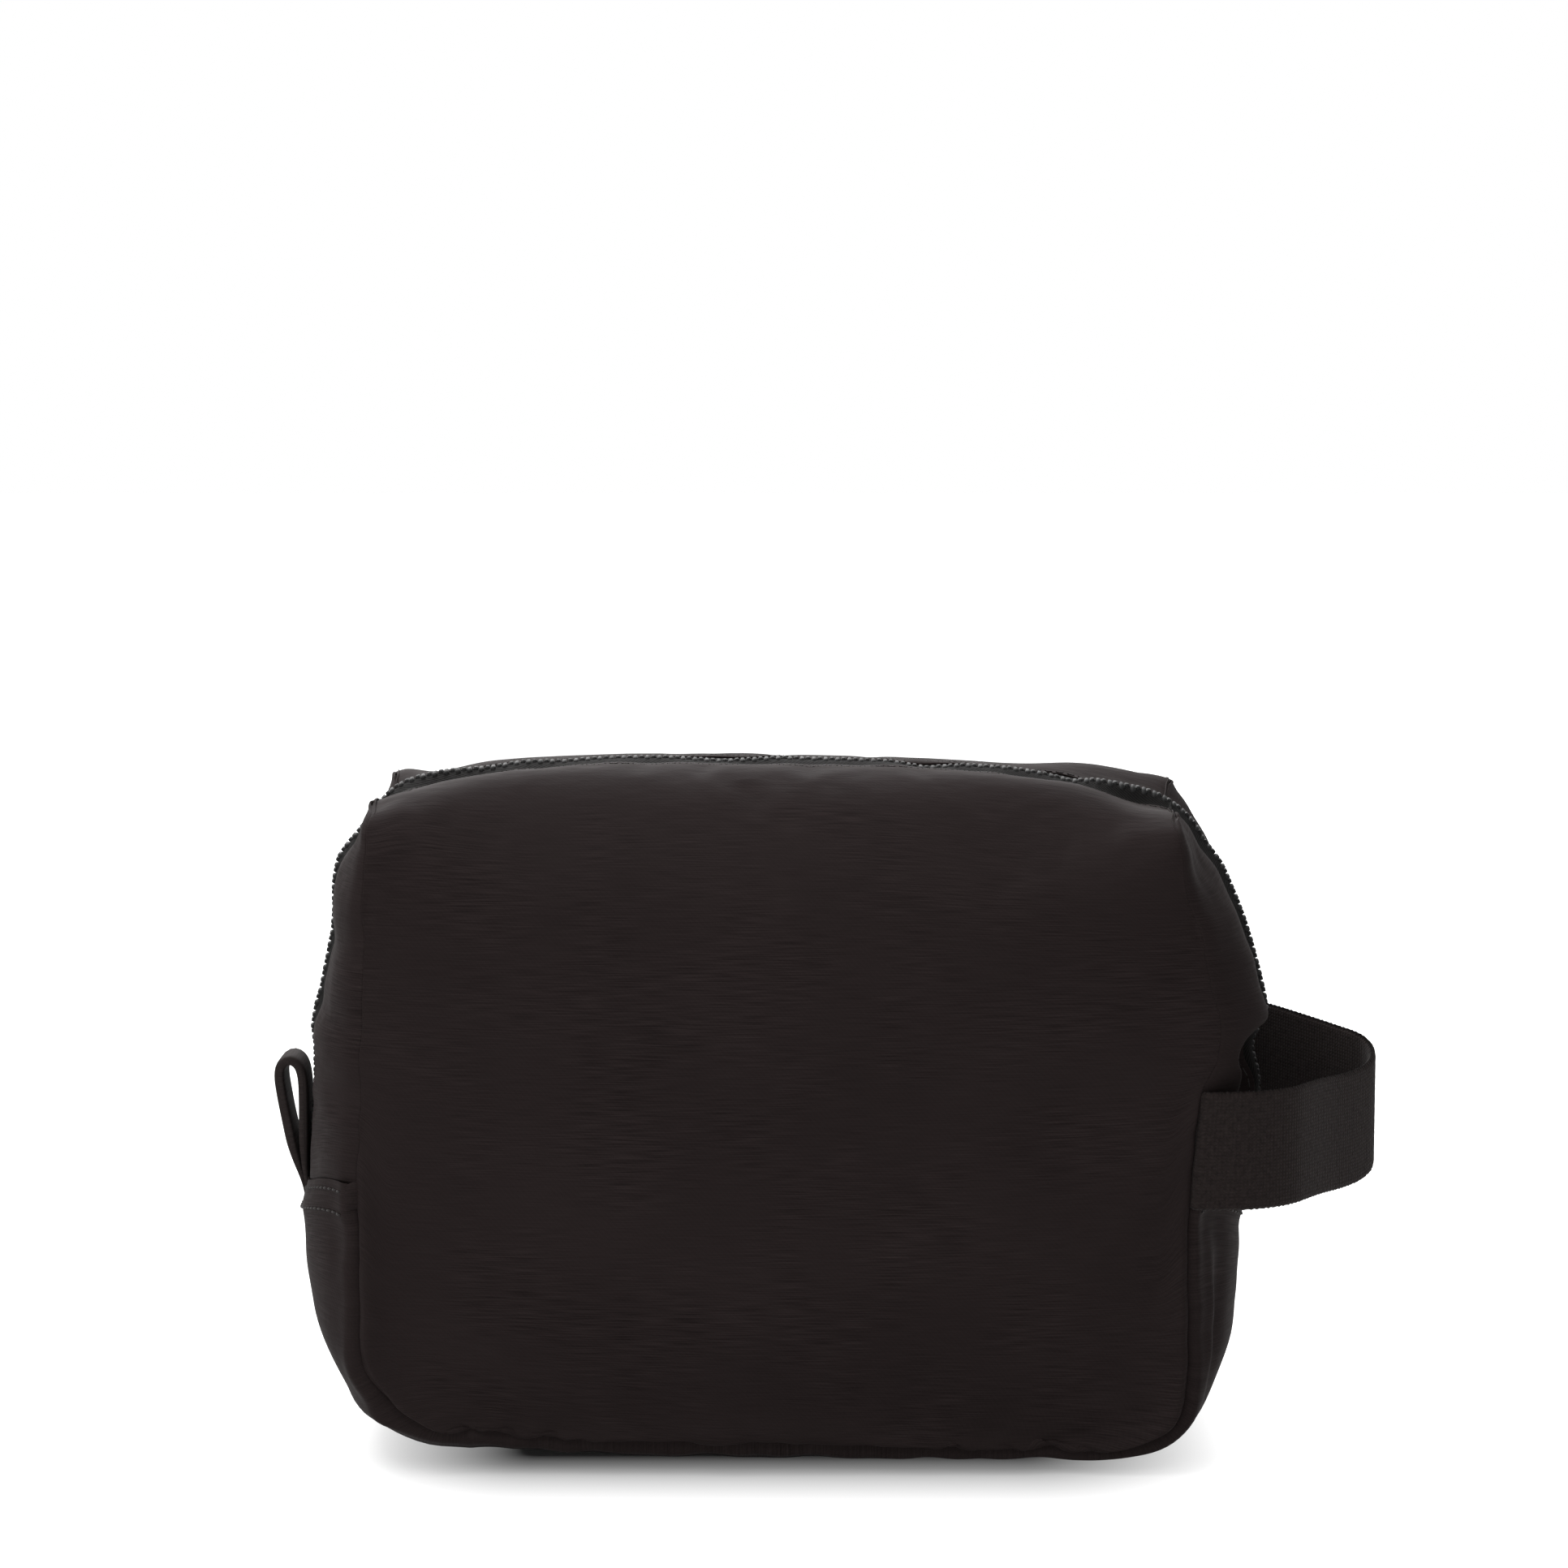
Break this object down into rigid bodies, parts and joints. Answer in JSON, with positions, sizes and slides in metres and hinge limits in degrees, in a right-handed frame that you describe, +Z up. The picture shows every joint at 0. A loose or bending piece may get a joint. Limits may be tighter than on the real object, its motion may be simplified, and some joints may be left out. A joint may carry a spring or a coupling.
{
  "type": "toiletry bag",
  "caption": "Soft box-shaped toiletry bag with a zip over the top from side to side, lined inside, with a webbing loop on one side to carry or hang it and a pull tab on the other.",
  "frame": {"origin": "on the floor under the middle of the base", "axes": "+Z up, +X along the width towards the webbing loop, -Y towards the front, the face in the picture"},
  "size_m": [0.3014, 0.114, 0.1852],
  "materials": {
    "nylon": "crinkled black nylon with a fine rib, slightly shiny",
    "zip_tape": "black woven zip tape",
    "zip_teeth": "glossy black moulded teeth",
    "zip_metal": "black painted zinc",
    "lining": "dark grey plain-woven lining",
    "webbing": "black woven webbing"
  },
  "bodies": {
    "bag": {"gusset_band": "nylon", "front_panel_lower": "nylon", "back_panel_lower": "nylon", "left_front_strip_lower": "nylon", "left_back_strip_lower": "nylon", "right_front_strip_lower": "nylon", "right_back_strip_lower": "nylon", "left_zip_end_tapes": "zip_tape", "right_zip_end_tapes": "zip_tape", "left_zip_end_teeth": "zip_teeth", "right_zip_end_teeth": "zip_teeth", "zip_bottom_stop": "zip_metal", "zip_top_stops": "zip_metal", "lining_gusset": "lining", "lining_front_lower": "lining", "lining_back_lower": "lining", "handle_root_front": "webbing", "handle_root_back": "webbing"},
    "front_half": {"front_panel_upper": "nylon", "left_front_strip": "nylon", "right_front_strip": "nylon", "front_zip_tape": "zip_tape", "front_zip_teeth": "zip_teeth", "lining_front_upper": "lining"},
    "back_half": {"back_panel_upper": "nylon", "left_back_strip": "nylon", "right_back_strip": "nylon", "back_zip_tape": "zip_tape", "back_zip_teeth": "zip_teeth", "lining_back_upper": "lining"},
    "slider": {"slider_body": "zip_metal"},
    "puller": {"puller": "zip_metal"},
    "handle": {"handle_loop": "webbing"},
    "tab": {"end_tab": "nylon"}
  },
  "joints": [
    {"name": "front_mouth", "type": "hinge", "parent": "bag", "child": "front_half", "pos_m": [0, -0.058, 0.102], "axis": [1, 0, 0], "range_deg": [0, 30]},
    {"name": "back_mouth", "type": "hinge", "parent": "bag", "child": "back_half", "pos_m": [0, 0.058, 0.102], "axis": [-1, 0, 0], "range_deg": [0, 30]},
    {"name": "zip_slide", "type": "slide", "parent": "bag", "child": "slider", "axis": [0.0832, 0, 0.9965], "range_m": [0, 0.024], "deforming": ["front_zip_teeth", "back_zip_teeth", "right_zip_end_teeth"]},
    {"name": "puller_swing", "type": "hinge", "parent": "slider", "child": "puller", "pos_m": [0.13301, 0, 0.07959], "axis": [0, -1, 0], "range_deg": [0, 160]},
    {"name": "handle_swing", "type": "hinge", "parent": "bag", "child": "handle", "pos_m": [0.1092, 0, 0.0855], "axis": [0, -1, 0], "range_deg": [-30, 30], "stiffness_Nm_per_rad": 0.08, "springref_deg": 1.72},
    {"name": "tab_swing", "type": "hinge", "parent": "bag", "child": "tab", "pos_m": [-0.1318, 0, 0.0681], "axis": [0, -1, 0], "range_deg": [0, 100], "stiffness_Nm_per_rad": 0.01}
  ]
}
